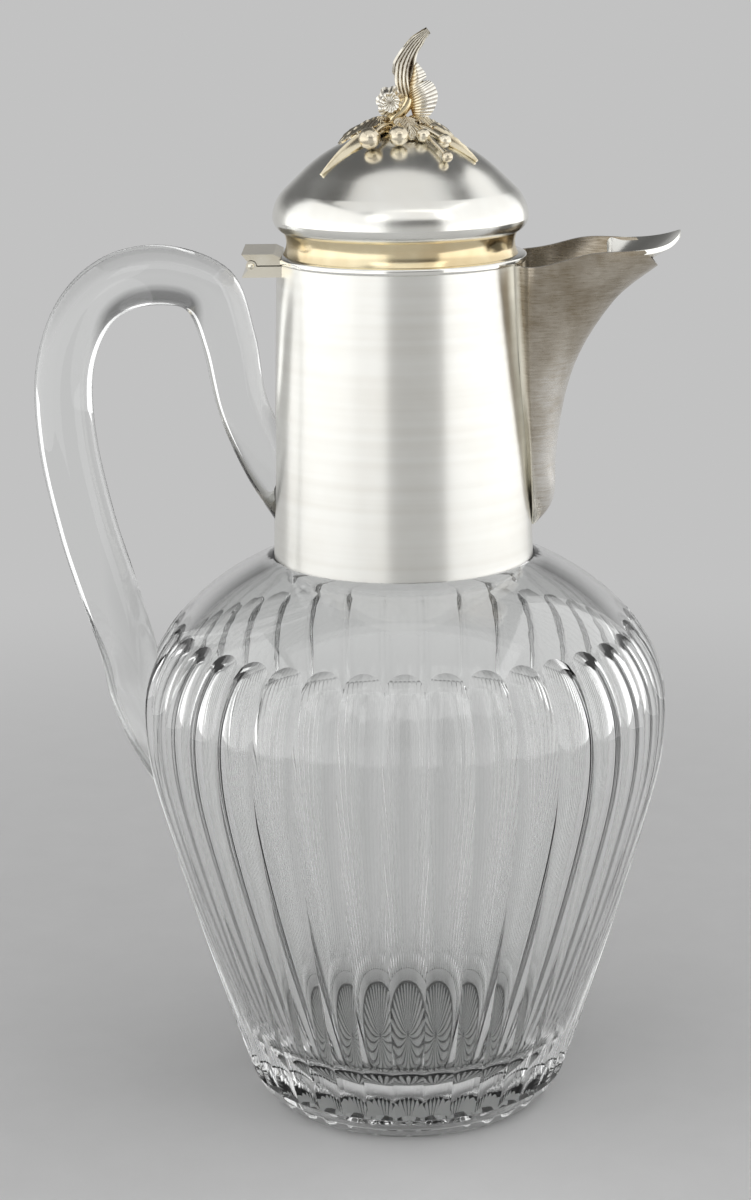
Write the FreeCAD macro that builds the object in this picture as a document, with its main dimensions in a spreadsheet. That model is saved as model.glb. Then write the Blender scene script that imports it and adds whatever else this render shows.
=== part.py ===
"""Claret jug: a fluted glass body and glass handle in a silver mount with a spout and a hinged lid.

The jug stands on z = 0 with its axis on Z. The spout points to +X and the handle and hinge lie on -X.
All sizes are millimetres and degrees, and the sheet "Sizes" drives every piece.
"""
import FreeCAD, Part
import math
import os
import re

import Sketcher
from FreeCAD import Placement, Rotation, Vector

doc = FreeCAD.newDocument("ClaretJug")
sheet = doc.addObject("Spreadsheet::Sheet", "Sizes")

SIZES = [
    # glass body: foot, flank, belly, shoulder and neck
    ("foot_rest_radius", 35.0), ("foot_radius", 41.0), ("foot_height", 7.5), ("foot_round", 16.0),
    ("star_radius", 33.0), ("star_recess", 1.2),
    ("body_radius", 66.3), ("belly_height", 104.0), ("belly_curve", 80.0), ("belly_turn", 14.0),
    ("flank_curve", 920.0), ("shoulder_curve", 33.0), ("shoulder_turn", 40.0), ("neck_curve", 61.0),
    ("ledge_height", 143.2), ("glass_wall", 5.0),
    ("base_thickness", 15.0), ("floor_radius", 24.7), ("bowl_round", 14.2),
    ("bowl_radius", 37.6), ("bowl_height", 23.3), ("bowl_curve", 330.0),
    ("neck_radius", 29.4), ("neck_wall", 4.2), ("neck_length", 48.8), ("neck_rim_round", 1.5),
    # glass handle
    ("handle_depth", 14.4), ("handle_width", 13.4),
    # collar and its cement bed
    ("collar_bottom_radius", 32.5), ("collar_top_radius", 30.5), ("collar_height", 73.8),
    ("collar_wall", 0.9), ("hole_clearance", 0.1), ("cement_setback", 2.0),
    ("mouth_top_width", 24.4), ("mouth_bottom_width", 19.0), ("mouth_sill", 1.5),
    # spout
    ("spout_wall", 1.0), ("lip_thickness", 1.2),
    # hinge
    ("hinge_reach", 5.7), ("hinge_width", 20.0), ("knuckle_radius", 1.25), ("knuckle_width", 6.4),
    ("knuckle_gap", 0.2), ("pin_radius", 0.75), ("pin_proud", 0.6), ("pin_dome", 0.4), ("leaf_thickness", 2.65),
    ("leaf_gap", 0.3), ("leaf_bevel", 48.5), ("leaf_lap", 1.9), ("running_clearance", 0.04),
    # lid
    ("flange_radius", 30.9), ("flange_thickness", 1.7), ("flange_bore", 26.9),
    ("bezel_depth", 3.0), ("bezel_clearance", 0.5), ("bezel_wall", 0.8),
    ("band_height", 5.6), ("band_radius", 28.8), ("band_waist", 28.0),
    ("lid_radius", 31.3), ("lid_foot_radius", 29.0), ("bulge_height", 3.1), ("bulge_round", 9.6),
    ("dome_curve", 34.2), ("dome_turn", 45.0), ("dome_rise", 24.1), ("lid_wall", 0.8),
    # finial and its fixing
    ("boss_radius", 6.0), ("boss_height", 2.8), ("stud_radius", 1.5), ("stud_length", 9.0),
    ("washer_radius", 4.0), ("washer_thickness", 0.8), ("nut_flats", 5.5), ("nut_height", 2.4),
    ("thread_clearance", 0.02), ("leaf_metal", 0.9), ("berry_radius", 2.5),
    ("berry_gap", 0.15), ("stalk_radius", 0.6),
]
for row, (alias, value) in enumerate(SIZES, 1):
    sheet.set(f"A{row}", alias)
    sheet.set(f"B{row}", str(value))
    sheet.setAlias(f"B{row}", alias)

# lengths that follow from the driving sizes, kept in the same sheet so that every piece can share them
DERIVED = [
    ("flank_top_radius", "body_radius - belly_curve * (1 - cos(belly_turn * 1 deg))"),
    ("flank_top_height", "belly_height - belly_curve * sin(belly_turn * 1 deg)"),
    ("shoulder_end_radius", "body_radius - shoulder_curve * (1 - cos(shoulder_turn * 1 deg))"),
    ("shoulder_end_height", "belly_height + shoulder_curve * sin(shoulder_turn * 1 deg)"),
    ("ledge_radius", "collar_bottom_radius + 0.5"),
    ("neck_top", "ledge_height + neck_length"),
    ("neck_bore", "neck_radius - neck_wall"),
    ("collar_top", "ledge_height + collar_height"),
    ("collar_taper", "(collar_bottom_radius - collar_top_radius) / collar_height"),
    ("cement_top", "neck_top - cement_setback"),
    ("flange_top", "collar_top + flange_thickness"),
    ("band_top", "flange_top + band_height"),
    ("dome_top", "band_top + dome_rise"),
    ("dome_edge_radius", "dome_curve * sin(dome_turn * 1 deg)"),
    ("dome_edge_height", "dome_top - dome_curve * (1 - cos(dome_turn * 1 deg))"),
    ("bulge_end_radius", "lid_radius - bulge_round * (1 - cos(dome_turn * 1 deg))"),
    ("bulge_end_height", "band_top + bulge_height + bulge_round * sin(dome_turn * 1 deg)"),
    ("pin_x", "collar_top_radius + hinge_reach"),
    ("pin_crown", "(pin_radius^2 + pin_dome^2) / pin_dome / 2"),
    ("boss_crown", "((boss_radius * 0.45)^2 + (boss_height * 0.15)^2) / boss_height / 0.3"),
    ("washer_top", "dome_top - lid_wall - (dome_curve - lid_wall)"
                   " + sqrt((dome_curve - lid_wall)^2 - washer_radius^2)"),
]
for row, (alias, formula) in enumerate(DERIVED, len(SIZES) + 2):
    sheet.set(f"A{row}", alias)
    sheet.set(f"B{row}", "=" + formula)
    sheet.setAlias(f"B{row}", alias)
doc.recompute()

NAMES = {alias for alias, _ in SIZES + DERIVED}
PIECES = []


def size(alias):
    """One value of the sheet."""
    return float(sheet.get(alias))


def bound(formula):
    """The formula with each alias written as a reference to the sheet."""
    return re.sub(r"[a-z_]+", lambda word: ("Sizes." if word[0] in NAMES else "") + word[0], formula)


def measure(formula):
    """The present value of a formula of sheet aliases."""
    return float(sheet.evalExpression(bound(formula)))


def keep(piece, label):
    """Name a finished sub-part and put it on the list of pieces to write."""
    piece.Label = label
    PIECES.append(piece)
    return piece


def feature(label, shape, wanted=True):
    """A sub-part whose shape was made with Part's own functions."""
    piece = doc.addObject("Part::Feature", label)
    piece.Shape = shape
    piece.Placement = Placement()
    return keep(piece, label) if wanted else piece


def origin_plane(body, role):
    return [item for item in body.Origin.OriginFeatures if item.Role == role][0]


def sketch_on(body, name, role):
    sketch = body.newObject("Sketcher::SketchObject", name)
    sketch.AttachmentSupport = [(origin_plane(body, role), "")]
    sketch.MapMode = "FlatFace"
    return sketch


def arc_centre(start, end, radius):
    """Centre of the arc from start to end that bulges to the right of that direction.

    A negative radius makes it bulge to the left.
    """
    chord = end.sub(start)
    half = chord.Length / 2
    reach = math.sqrt(max(radius * radius - half * half, 0.0))
    side = Vector(-chord.y, chord.x, 0).normalize()
    middle = start.add(end).multiply(0.5)
    return middle.add(side.multiply(reach if radius > 0 else -reach))


def draw_outline(sketch, outline):
    """Draw a closed outline in a sketch and bind it to the sheet.

    outline holds (x formula, y formula, curve formula or None): the curve is the radius of the arc that
    leaves this corner, bulging to the right of its direction, or to the left if the formula begins with -.
    """
    corners = [Vector(measure(x), measure(y), 0) for x, y, _ in outline]
    count = len(outline)
    starts = []
    for number, (x, y, curve) in enumerate(outline):
        start, end = corners[number], corners[(number + 1) % count]
        if curve is None:
            edge = sketch.addGeometry(Part.LineSegment(start, end))
            starts.append((edge, 1, 2))
            continue
        radius = measure(curve)
        centre = arc_centre(start, end, radius)
        first, last = (start, end) if radius > 0 else (end, start)
        angles = [math.atan2(p.y - centre.y, p.x - centre.x) for p in (first, last)]
        if angles[1] < angles[0]:
            angles[1] += 2 * math.pi
        circle = Part.Circle(centre, Vector(0, 0, 1), abs(radius))
        edge = sketch.addGeometry(Part.ArcOfCircle(circle, angles[0], angles[1]))
        starts.append((edge, 1, 2) if radius > 0 else (edge, 2, 1))
        name = f"curve{number}"
        fixed = sketch.addConstraint(Sketcher.Constraint("Radius", edge, abs(radius)))
        sketch.renameConstraint(fixed, name)
        sketch.setExpression(f"Constraints.{name}", "abs(" + bound(curve) + ")")
    for number, (x, y, _) in enumerate(outline):
        edge, head, _tail = starts[number]
        before, _head, tail = starts[number - 1]
        sketch.addConstraint(Sketcher.Constraint("Coincident", before, tail, edge, head))
        for kind, letter, formula, value in (("DistanceX", "x", x, corners[number].x),
                                             ("DistanceY", "y", y, corners[number].y)):
            name = f"{letter}{number}"
            fixed = sketch.addConstraint(Sketcher.Constraint(kind, -1, 1, edge, head, value))
            sketch.renameConstraint(fixed, name)
            sketch.setExpression(f"Constraints.{name}", bound(formula))


def turned(name, outline):
    """A body of revolution about Z from an outline of (radius, height, curve)."""
    body = doc.addObject("PartDesign::Body", name)
    sketch = sketch_on(body, name + "_outline", "XZ_Plane")
    draw_outline(sketch, outline)
    turn = body.newObject("PartDesign::Revolution", name + "_turn")
    turn.Profile = sketch
    turn.ReferenceAxis = (sketch, ["V_Axis"])
    turn.Angle = 360
    body.Tip = turn
    doc.recompute()
    return body


def plate(name, outline, width):
    """A body padded equally to both sides of the XZ plane from a side outline."""
    body = doc.addObject("PartDesign::Body", name)
    sketch = sketch_on(body, name + "_side", "XZ_Plane")
    draw_outline(sketch, outline)
    pad = body.newObject("PartDesign::Pad", name + "_pad")
    pad.Profile = sketch
    pad.Midplane = True
    pad.setExpression("Length", bound(width))
    body.Tip = pad
    doc.recompute()
    return body


def rod_across(name, radius, start, length):
    """A cylinder along Y about the hinge line."""
    rod = doc.addObject("Part::Cylinder", name)
    rod.setExpression("Radius", bound(radius))
    rod.setExpression("Height", bound(length))
    rod.Placement = Placement(Vector(0, 0, 0), Rotation(Vector(1, 0, 0), -90))
    rod.setExpression("Placement.Base.x", bound("0 - pin_x"))
    rod.setExpression("Placement.Base.y", bound(start))
    rod.setExpression("Placement.Base.z", bound("collar_top"))
    return rod


def upright(name, radius, bottom, height):
    """A cylinder on the jug's axis."""
    rod = doc.addObject("Part::Cylinder", name)
    rod.setExpression("Radius", bound(radius))
    rod.setExpression("Height", bound(height))
    rod.setExpression("Placement.Base.z", bound(bottom))
    return rod


def fused(name, *parts):
    whole = doc.addObject("Part::MultiFuse", name)
    whole.Shapes = list(parts)
    return whole


def cut(name, base, tool):
    rest = doc.addObject("Part::Cut", name)
    rest.Base = base
    rest.Tool = tool
    return rest


def solid_of(shape):
    """The shape as one valid solid with a positive volume."""
    solids = sorted(shape.Solids, key=lambda solid: abs(solid.Volume))
    solid = solids[-1]
    if solid.Volume < 0:
        solid.reverse()
    return solid


def smooth_closed(points):
    """A closed smooth wire through points."""
    curve = Part.BSplineCurve()
    curve.interpolate(points, PeriodicFlag=True)
    return Part.Wire([curve.toShape()])


def smooth(points):
    """A smooth edge through points."""
    curve = Part.BSplineCurve()
    curve.interpolate(points)
    return curve.toShape()


def loft(wires):
    return solid_of(Part.makeLoft(wires, True, False))


# ---------------------------------------------------------------------------------- glass body
OUTSIDE = [
    ("foot_rest_radius", "0", "foot_round"),
    ("foot_radius", "foot_height", "flank_curve"),
    ("flank_top_radius", "flank_top_height", "belly_curve"),
    ("body_radius", "belly_height", "shoulder_curve"),
    ("shoulder_end_radius", "shoulder_end_height", "neck_curve"),
    ("ledge_radius", "ledge_height", None),
]
NECK = [
    ("neck_radius", "ledge_height", None),
    ("neck_radius", "neck_top - neck_rim_round", "neck_rim_round"),
    ("neck_radius - neck_rim_round", "neck_top", None),
    ("neck_bore + neck_rim_round", "neck_top", "neck_rim_round"),
    ("neck_bore", "neck_top - neck_rim_round", None),
]
INSIDE = [
    ("neck_bore", "ledge_height + glass_wall", "glass_wall * 2.15"),
    ("ledge_radius - glass_wall * 0.345", "ledge_height - glass_wall * 0.938", "glass_wall - neck_curve"),
    ("shoulder_end_radius - glass_wall * cos(shoulder_turn * 1 deg)",
     "shoulder_end_height - glass_wall * sin(shoulder_turn * 1 deg)", "glass_wall - shoulder_curve"),
    ("body_radius - glass_wall", "belly_height", "glass_wall - belly_curve"),
    ("flank_top_radius - glass_wall * cos(belly_turn * 1 deg)",
     "flank_top_height + glass_wall * sin(belly_turn * 1 deg)", "0 - bowl_curve"),
    ("bowl_radius", "bowl_height", "0 - bowl_round"),
    ("floor_radius", "base_thickness", None),
    ("0", "base_thickness", None),
]
UNDERSIDE = [
    ("0", "star_recess", None),
    ("star_radius - star_recess", "star_recess", None),
    ("star_radius", "0", None),
]
keep(turned("glass_body", OUTSIDE + NECK + INSIDE + UNDERSIDE), "glass_body")

glass_outside = turned("glass_outside", OUTSIDE + NECK[:1] + [
    ("neck_radius", "neck_top", None), ("0", "neck_top", None), ("0", "0", None)])

# ---------------------------------------------------------------------------------- glass handle
# Stations along the handle, from its root in the collar to its pointed end on the shoulder: what it is
# measured from, how far out and how far up its middle lies, and its depth and width as shares of full.
HANDLE = [
    ("collar", -4.0, -62.0, 0.88, 0.80),
    ("collar", 2.8, -50.0, 0.94, 0.88),
    ("collar", 9.0, -36.0, 0.88, 0.92),
    ("collar", 12.0, -20.0, 0.94, 0.96),
    ("collar", 16.5, -7.6, 1.02, 1.00),
    ("collar", 27.0, -3.4, 1.02, 1.00),
    ("collar", 39.0, -5.2, 1.02, 1.00),
    ("collar", 48.0, -13.0, 0.98, 1.00),
    ("collar", 53.0, -27.0, 0.99, 1.00),
    ("collar", 52.8, -45.0, 1.02, 1.02),
    ("collar", 49.0, -65.0, 1.03, 1.06),
    ("belly", 9.0, 33.0, 1.04, 1.10),
    ("belly", 4.2, 17.0, 1.00, 1.22),
    ("belly", 2.0, 4.0, 0.96, 1.26),
    ("belly", -0.2, -6.0, 0.78, 1.06),
    ("belly", -2.2, -14.0, 0.52, 0.70),
    ("belly", -3.6, -20.5, 0.24, 0.26),
]


def handle_stations():
    """Middle, depth and width of the handle at each station."""
    anchors = {"collar": (size("collar_top_radius"), size("collar_top")),
               "belly": (size("body_radius"), size("belly_height"))}
    for anchor, out, up, depth, width in HANDLE:
        radius, height = anchors[anchor]
        middle = Vector(-(radius + out), 0, height + up)
        yield middle, size("handle_depth") * depth / 2, size("handle_width") * width / 2


def handle_solid(extra=0.0):
    """The handle as a loft of ovals square to its route, grown all round by extra."""
    stations = list(handle_stations())
    wires = []
    for number, (middle, depth, width) in enumerate(stations):
        before = stations[max(number - 1, 0)][0]
        after = stations[min(number + 1, len(stations) - 1)][0]
        along = after.sub(before).normalize()
        across = Vector(0, 1, 0)
        out = along.cross(across)
        points = []
        for step in range(12):
            turn = math.radians(30 * step)
            points.append(middle + out * ((depth + extra) * math.cos(turn))
                          + across * ((width + extra) * math.sin(turn)))
        wires.append(smooth_closed(points))
    return loft(wires)


glass_handle = feature("glass_handle", solid_of(handle_solid().cut(glass_outside.Shape)))

# ---------------------------------------------------------------------------------- collar and cement
handle_room = feature("handle_room", handle_solid(size("hole_clearance")), wanted=False)

collar_shell = turned("collar_shell", [
    ("collar_bottom_radius", "ledge_height", None),
    ("collar_top_radius", "collar_top", None),
    ("collar_top_radius - collar_wall", "collar_top", None),
    ("collar_bottom_radius - collar_wall", "ledge_height", None),
])
mouth_side = sketch_on(collar_shell, "mouth_side", "YZ_Plane")
draw_outline(mouth_side, [
    ("0 - mouth_bottom_width / 2", "neck_top + mouth_sill", None),
    ("mouth_bottom_width / 2", "neck_top + mouth_sill", None),
    ("mouth_top_width / 2", "collar_top + 1", None),
    ("0 - mouth_top_width / 2", "collar_top + 1", None),
])
mouth = collar_shell.newObject("PartDesign::Pocket", "mouth")
mouth.Profile = mouth_side
mouth.Reversed = True
mouth.setExpression("Length", bound("collar_bottom_radius + 1"))
uncut = collar_shell.Shape.Volume
collar_shell.Tip = mouth
doc.recompute()
if collar_shell.Shape.Volume > uncut - 1:
    raise RuntimeError("the mouth behind the spout cuts nothing")
keep(cut("collar", collar_shell, handle_room), "collar")

cement_ring = turned("cement_ring", [
    ("neck_radius", "ledge_height", None),
    ("collar_bottom_radius - collar_wall", "ledge_height", None),
    ("collar_bottom_radius - collar_wall - collar_taper * (cement_top - ledge_height)", "cement_top", None),
    ("neck_radius", "cement_top", None),
])
keep(cut("cement_bed", cement_ring, glass_handle), "cement_bed")

# ---------------------------------------------------------------------------------- spout
# Levels of the spout: drop below the collar's top, half width of its footprint on the collar, half width
# of its flare, reach of its keel beyond the collar's top radius, and the roundness of its plan.
SPOUT = [
    (66.5, 1.0, 1.6, 2.6, 0.50),
    (64.5, 2.8, 3.8, 4.4, 0.50),
    (61.0, 4.6, 6.0, 6.7, 0.50),
    (55.0, 6.8, 8.4, 7.6, 0.50),
    (46.0, 8.8, 10.6, 8.0, 0.50),
    (35.0, 11.0, 13.0, 9.6, 0.48),
    (25.0, 12.4, 14.8, 12.6, 0.47),
    (15.0, 13.3, 16.3, 18.2, 0.45),
    (8.0, 13.8, 17.2, 23.9, 0.43),
    (4.0, 13.9, 17.6, 29.0, 0.41),
    (0.0, 14.0, 17.8, 34.5, 0.40),
    (-5.0, 14.0, 17.8, 38.0, 0.40),
]
FLARE_STEPS = (0.0, 0.2, 0.4, 0.6, 0.77, 0.9, 0.97)
PLAN_POWER = 2.2


def collar_radius_at(drop):
    return size("collar_top_radius") + size("collar_taper") * drop


def spout_wires(inset):
    """The plans of the spout's outer or, with an inset, inner face at each level."""
    wires = []
    levels = SPOUT if inset == 0 else SPOUT[2:]
    for number, (drop, foot, flare, reach, rounding) in enumerate(levels):
        above = levels[min(number + 1, len(levels) - 1)]
        below = levels[max(number - 1, 0)]
        lean = (above[3] - below[3]) / (below[0] - above[0])
        foot, flare = foot - inset, flare - inset
        keel = size("collar_top_radius") + reach - inset * math.sqrt(1 + lean * lean)
        radius = collar_radius_at(drop)
        start = math.sqrt(radius ** 2 - foot ** 2)
        height = size("collar_top") - drop
        flank = []
        for step in FLARE_STEPS:
            x = radius + step * (keel - radius)
            flank.append(Vector(x, flare * (1 - step ** PLAN_POWER) ** rounding, height))
        foot_point = Vector(start - 1.0, foot * (start - 1.0) / start, height)
        right = [foot_point, Vector(start, foot, height)] + flank
        left = [Vector(p.x, -p.y, p.z) for p in reversed(right)]
        points = right + [Vector(keel, 0, height)] + left
        wires.append(Part.Wire([smooth(points), Part.LineSegment(points[-1], points[0]).toShape()]))
    return wires


def side_prism(points, half_width):
    """A prism across the jug from a side outline of (x, z), with a smooth first edge."""
    ends = [Vector(x, -half_width, z) for x, z in points[-2:]]
    curve = [Vector(x, -half_width, z) for x, z in points[:-2]]
    edges = [smooth(curve)]
    corners = [curve[-1]] + ends + [curve[0]]
    for first, second in zip(corners, corners[1:]):
        edges.append(Part.LineSegment(first, second).toShape())
    return Part.Face(Part.Wire(edges)).extrude(Vector(0, 2 * half_width, 0))


# Rim of the spout seen from the side: reach beyond the collar's top radius and rise above its top.
RIM = [(-12.0, 0.0), (-2.0, 0.0), (3.0, 0.3), (8.0, 1.3), (15.0, 3.0), (21.0, 3.3), (27.5, 3.3),
       (31.5, 3.7), (35.5, 5.0), (39.0, 7.0)]
# The pouring lip: reach, rise of its edge, rise of its middle line and half width of its plan.
LIP = [
    (21.0, 3.3, -7.2, 15.0),
    (24.5, 3.3, -3.8, 13.9),
    (28.0, 3.4, -0.8, 12.9),
    (31.0, 3.7, 1.3, 11.7),
    (33.8, 4.3, 3.0, 9.8),
    (36.0, 5.2, 4.6, 6.6),
    (37.4, 6.1, 5.9, 3.2),
    (38.0, 6.6, 6.5, 0.7),
]
BEAK = [(33.0, -2.5), (28.8, 2.6)]


def from_collar_top(points):
    return [(size("collar_top_radius") + out, size("collar_top") + up) for out, up in points]


def lip_solid():
    """The lip: a dished tongue lofted through upright arcs."""
    wires = []
    for out, edge_rise, middle_rise, half in LIP:
        x = size("collar_top_radius") + out
        top = size("collar_top")
        thick = size("lip_thickness")
        upper = [Vector(x, -half, top + edge_rise), Vector(x, 0, top + middle_rise),
                 Vector(x, half, top + edge_rise)]
        lower = [p - Vector(0, 0, thick) for p in upper]
        wires.append(Part.Wire([
            Part.Arc(*upper).toShape(), Part.LineSegment(upper[2], lower[2]).toShape(),
            Part.Arc(*reversed(lower)).toShape(), Part.LineSegment(lower[0], upper[0]).toShape()]))
    return loft(wires)


def spout_solid(lip):
    """The open trough of the spout, trimmed at the collar, the rim, the beak and the lip."""
    trough = loft(spout_wires(0)).cut(loft(spout_wires(size("spout_wall"))))
    top, bottom = size("collar_top"), size("ledge_height")
    cone = Part.makeCone(size("collar_bottom_radius"), collar_radius_at(-10), top - bottom + 10,
                         Vector(0, 0, bottom))
    wide = 40
    rim = from_collar_top(RIM)
    above_rim = side_prism(rim + [(rim[-1][0], top + wide), (rim[0][0], top + wide)], wide)
    beak = from_collar_top(BEAK)
    lean = [(beak[1][0] - beak[0][0]) * 2, (beak[1][1] - beak[0][1]) * 2]
    far = (beak[0][0] + lean[0], beak[0][1] + lean[1])
    near = (beak[0][0] - lean[0], beak[0][1] - lean[1])
    beyond = side_prism([near, beak[0], far, (far[0] + wide, far[1]), (near[0] + wide, near[1])], wide)
    for tool in (cone, above_rim, beyond, lip):
        trough = trough.cut(tool)
    return solid_of(trough)


lip_shape = lip_solid()
feature("spout", spout_solid(lip_shape))
feature("spout_lip", lip_shape)

# ---------------------------------------------------------------------------------- hinge
LEAF_TAIL = "leaf_thickness / tan(leaf_bevel * 1 deg)"
lower_plate = plate("lower_plate", [
    ("0 - pin_x - 0.1", "collar_top - leaf_gap / 2", None),
    ("0 - pin_x - " + LEAF_TAIL, "collar_top - leaf_gap / 2 - leaf_thickness", None),
    ("0 - collar_top_radius + 3", "collar_top - leaf_gap / 2 - leaf_thickness", None),
    ("0 - collar_top_radius + 3", "collar_top - leaf_gap / 2", None),
], "hinge_width")
upper_plate = plate("upper_plate", [
    ("0 - pin_x - 0.1", "collar_top + leaf_gap / 2", None),
    ("0 - flange_radius + leaf_lap", "collar_top + leaf_gap / 2", None),
    ("0 - flange_radius + leaf_lap", "flange_top + 0.2", None),
    ("0 - flange_radius + leaf_lap - 1.8", "collar_top + leaf_gap / 2 + leaf_thickness", None),
    ("0 - pin_x - " + LEAF_TAIL, "collar_top + leaf_gap / 2 + leaf_thickness", None),
], "hinge_width")

SIDE_WIDTH = "(hinge_width - knuckle_width) / 2 - knuckle_gap"
side_starts = ["0 - hinge_width / 2", "knuckle_width / 2 + knuckle_gap"]
side_knuckles = [rod_across(f"side_knuckle_{number}", "knuckle_radius", start, SIDE_WIDTH)
                 for number, start in enumerate(side_starts, 1)]
side_rooms = [rod_across("side_room_1", "knuckle_radius + knuckle_gap", "0 - hinge_width / 2 - 1",
                         SIDE_WIDTH + " + 1 + knuckle_gap"),
              rod_across("side_room_2", "knuckle_radius + knuckle_gap", "knuckle_width / 2",
                         SIDE_WIDTH + " + 1 + knuckle_gap")]
middle_knuckle = rod_across("middle_knuckle", "knuckle_radius", "0 - knuckle_width / 2", "knuckle_width")
middle_room = rod_across("middle_room", "knuckle_radius + knuckle_gap",
                         "0 - knuckle_width / 2 - knuckle_gap", "knuckle_width + 2 * knuckle_gap")
pin_bore = rod_across("pin_bore", "pin_radius", "0 - hinge_width", "hinge_width * 2")
pin_room = rod_across("pin_room", "pin_radius + running_clearance", "0 - hinge_width", "hinge_width * 2")

collar_core = doc.addObject("Part::Cone", "collar_core")
collar_core.setExpression("Radius1", bound("collar_bottom_radius"))
collar_core.setExpression("Radius2", bound("collar_top_radius"))
collar_core.setExpression("Height", bound("collar_height"))
collar_core.setExpression("Placement.Base.z", bound("ledge_height"))
lower_blank = cut("lower_blank", lower_plate, fused("lower_waste", middle_room, collar_core))
keep(cut("hinge_lower_leaf", fused("lower_knuckled", lower_blank, *side_knuckles), pin_bore),
     "hinge_lower_leaf")

flange_room = upright("flange_room", "flange_radius", "collar_top - 2", "flange_thickness + 2")
upper_blank = cut("upper_blank", upper_plate, fused("upper_waste", flange_room, *side_rooms))
keep(cut("hinge_upper_leaf", fused("upper_knuckled", upper_blank, middle_knuckle), pin_room),
     "hinge_upper_leaf")

PIN_END = "hinge_width / 2 + pin_proud"
hinge_pin = turned("hinge_pin", [
    ("0", "0 - (" + PIN_END + ")", "pin_crown"),
    ("pin_radius", "pin_dome - (" + PIN_END + ")", None),
    ("pin_radius", PIN_END + " - pin_dome", "pin_crown"),
    ("0", PIN_END, None),
])
hinge_pin.Placement = Placement(Vector(0, 0, 0), Rotation(Vector(1, 0, 0), -90))
hinge_pin.setExpression("Placement.Base.x", bound("0 - pin_x"))
hinge_pin.setExpression("Placement.Base.z", bound("collar_top"))
keep(hinge_pin, "hinge_pin")

# ---------------------------------------------------------------------------------- lid
keep(turned("lid_flange", [
    ("flange_bore", "collar_top", None),
    ("flange_radius", "collar_top", None),
    ("flange_radius", "flange_top", None),
    ("flange_bore", "flange_top", None),
]), "lid_flange")

BEZEL_RADIUS = "collar_top_radius - collar_wall - bezel_clearance"
keep(turned("lid_bezel", [
    (BEZEL_RADIUS + " - bezel_wall", "collar_top - bezel_depth", None),
    (BEZEL_RADIUS, "collar_top - bezel_depth", None),
    (BEZEL_RADIUS, "collar_top", None),
    (BEZEL_RADIUS + " - bezel_wall", "collar_top", None),
]), "lid_bezel")

BAND_CURVE = "0 - (band_height^2 / 4 + (band_radius - band_waist)^2) / (band_radius - band_waist) / 2"
keep(turned("lid_neck_band", [
    ("flange_bore", "flange_top", None),
    ("band_radius", "flange_top", BAND_CURVE),
    ("band_radius", "band_top", None),
    ("flange_bore", "band_top", None),
]), "lid_neck_band")

dome_shell = turned("dome_shell", [
    ("lid_foot_radius", "band_top", "bulge_height * 1.35"),
    ("lid_radius", "band_top + bulge_height", "bulge_round"),
    ("bulge_end_radius", "bulge_end_height", None),
    ("dome_edge_radius", "dome_edge_height", "dome_curve"),
    ("0", "dome_top", None),
    ("0", "dome_top - lid_wall", "lid_wall - dome_curve"),
    ("dome_edge_radius - lid_wall * sin(dome_turn * 1 deg)",
     "dome_edge_height - lid_wall * cos(dome_turn * 1 deg)", None),
    ("bulge_end_radius - lid_wall * cos(dome_turn * 1 deg)",
     "bulge_end_height - lid_wall * sin(dome_turn * 1 deg)", "lid_wall - bulge_round"),
    ("lid_radius - lid_wall", "band_top + bulge_height", "lid_wall - bulge_height * 1.35"),
    ("lid_foot_radius - lid_wall", "band_top", None),
])
stud_hole = upright("stud_hole", "stud_radius + thread_clearance", "dome_top - 10", "20")
keep(cut("lid_dome", dome_shell, stud_hole), "lid_dome")

# ---------------------------------------------------------------------------------- finial
boss_blank = turned("boss_blank", [
    ("0", "dome_top", "0 - dome_curve"),
    ("boss_radius", "dome_top - dome_curve + sqrt(dome_curve^2 - boss_radius^2)", None),
    ("boss_radius", "dome_top - 0.1", "boss_radius * 0.8"),
    ("boss_radius * 0.45", "dome_top + boss_height * 0.85", "boss_crown"),
    ("0", "dome_top + boss_height", None),
])
stud_socket = upright("stud_socket", "stud_radius + thread_clearance", "dome_top - 5",
                      "5 + boss_height * 0.6")
finial_boss = keep(cut("finial_boss", boss_blank, stud_socket), "finial_boss")

keep(upright("finial_stud", "stud_radius", "dome_top + boss_height * 0.6 - stud_length", "stud_length"),
     "finial_stud")
keep(turned("finial_washer", [
    ("stud_radius + thread_clearance", "washer_top - washer_thickness", None),
    ("washer_radius", "washer_top - washer_thickness", None),
    ("washer_radius", "washer_top", None),
    ("stud_radius + thread_clearance", "washer_top", None),
]), "finial_washer")
nut_blank = doc.addObject("Part::Prism", "nut_blank")
nut_blank.Polygon = 6
nut_blank.setExpression("Circumradius", bound("nut_flats / sqrt(3)"))
nut_blank.setExpression("Height", bound("nut_height"))
nut_blank.setExpression("Placement.Base.z", bound("washer_top - washer_thickness - nut_height"))
nut_bore = upright("nut_bore", "stud_radius + thread_clearance", "dome_top - 20", "20")
keep(cut("finial_nut", nut_blank, nut_bore), "finial_nut")
doc.recompute()

LEAF_STEPS = 8


def bezier(start, bend, end, share):
    return start * (1 - share) ** 2 + bend * (2 * share * (1 - share)) + end * share ** 2


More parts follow.
